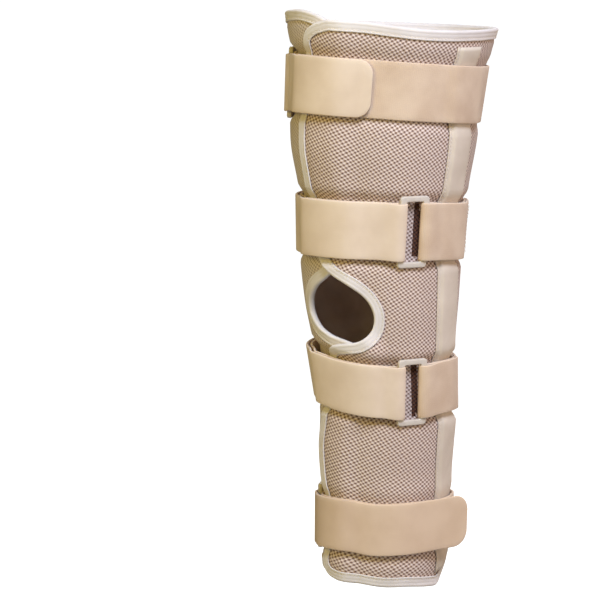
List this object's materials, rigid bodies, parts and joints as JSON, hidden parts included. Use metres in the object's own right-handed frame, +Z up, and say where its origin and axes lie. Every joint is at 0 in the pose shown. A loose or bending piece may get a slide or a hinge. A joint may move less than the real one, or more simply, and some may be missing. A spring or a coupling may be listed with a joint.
{
  "type": "knee immobilizer",
  "caption": "Padded cloth wrap that holds a leg straight from thigh to calf, open over the knee cap, closed by straps through plastic rings.",
  "frame": {"origin": "inside the leg on its middle line, at the height of the knee cap opening", "axes": "+Z up the leg to the thigh, -Y to the front of the leg, +X to the outer side of a left leg"},
  "size_m": [0.1745, 0.1992, 0.4978],
  "materials": {
    "wrap_mesh": "beige spacer mesh",
    "binding_tape": "folded off-white tape",
    "casing_cloth": "smooth beige cloth",
    "strap_loop": "brushed loop webbing",
    "ring_plastic": "satin off-white",
    "hook_tape": "stiff hook tape"
  },
  "bodies": {
    "root": {"wrap_panel": "wrap_mesh", "edge_binding": "binding_tape", "stay_casing": "casing_cloth", "strap_1": "strap_loop", "strap_2": "strap_loop", "strap_3": "strap_loop", "strap_4": "strap_loop", "ring_tab_1": "strap_loop", "ring_tab_2": "strap_loop", "ring_tab_3": "strap_loop", "ring_tab_4": "strap_loop", "ring_1": "ring_plastic", "ring_2": "ring_plastic", "ring_3": "ring_plastic", "ring_4": "ring_plastic", "hook_patch_1": "hook_tape", "hook_patch_2": "hook_tape", "hook_patch_3": "hook_tape", "hook_patch_4": "hook_tape"}
  },
  "joints": []
}
